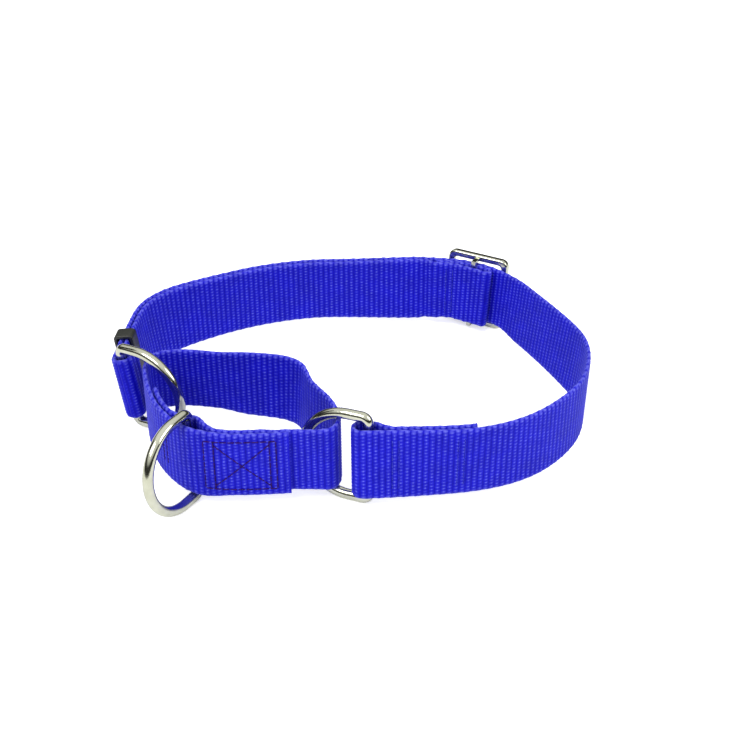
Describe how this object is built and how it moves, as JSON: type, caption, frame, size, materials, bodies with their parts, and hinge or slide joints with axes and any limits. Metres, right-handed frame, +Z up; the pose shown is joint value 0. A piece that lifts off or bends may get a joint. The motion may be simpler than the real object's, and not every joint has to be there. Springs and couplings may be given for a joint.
{
  "type": "martingale collar",
  "caption": "Flat webbing martingale dog collar with a double control loop, a leash ring, two loop rings, a metal slide and a strap keeper.",
  "frame": {"origin": "middle of the collar's footprint, on the plane it stands on", "axes": "+X across the collar from the left D-ring and keeper to the main strap's bend, +Y from the leash ring and control loop to the nape, +Z up the webbing's width"},
  "size_m": [0.1754, 0.1468, 0.0368],
  "materials": {
    "webbing": "royal blue nylon webbing, plain weave, satin sheen",
    "nickel": "nickel plated, polished",
    "black_plastic": "moulded, satin",
    "dark_thread": "dark bonded thread",
    "blue_thread": "thread in the webbing's colour"
  },
  "bodies": {
    "collar": {"main_strap": "webbing", "control_strap": "webbing", "right_ring_seam": "blue_thread", "box_seam": "dark_thread", "tack_seam": "dark_thread"},
    "left_ring": {"left_d_ring": "nickel"},
    "right_ring": {"right_d_ring": "nickel"},
    "leash_ring": {"leash_d_ring": "nickel"},
    "slide": {"slide_frame": "nickel", "strap_end_loop": "webbing", "end_loop_seam": "blue_thread"},
    "keeper": {"strap_keeper": "black_plastic"}
  },
  "joints": [
    {"name": "left_ring_swing", "type": "hinge", "parent": "collar", "child": "left_ring", "pos_m": [-0.0812, -0.00908, 0.01798], "axis": [-0.1131, 0.0057, 0.9936], "range_deg": [-8, 30]},
    {"name": "right_ring_swing", "type": "hinge", "parent": "collar", "child": "right_ring", "pos_m": [0.00728, -0.0543, 0.01834], "axis": [-0.0051, 0.0853, 0.9963], "range_deg": [-5, 7]},
    {"name": "leash_ring_swing", "type": "hinge", "parent": "collar", "child": "leash_ring", "pos_m": [-0.05271, -0.0508, 0.01811], "axis": [-0.0563, 0.0714, 0.9959], "range_deg": [-78, 75]},
    {"name": "slide_travel", "type": "hinge", "parent": "collar", "child": "slide", "pos_m": [0.0352, 0.03234, 0], "axis": [0, 0, -1], "range_deg": [0, 15]},
    {"name": "keeper_travel", "type": "slide", "parent": "collar", "child": "keeper", "axis": [0.0781, 0.9969, 0], "range_m": [-0.002, 0.01]}
  ]
}
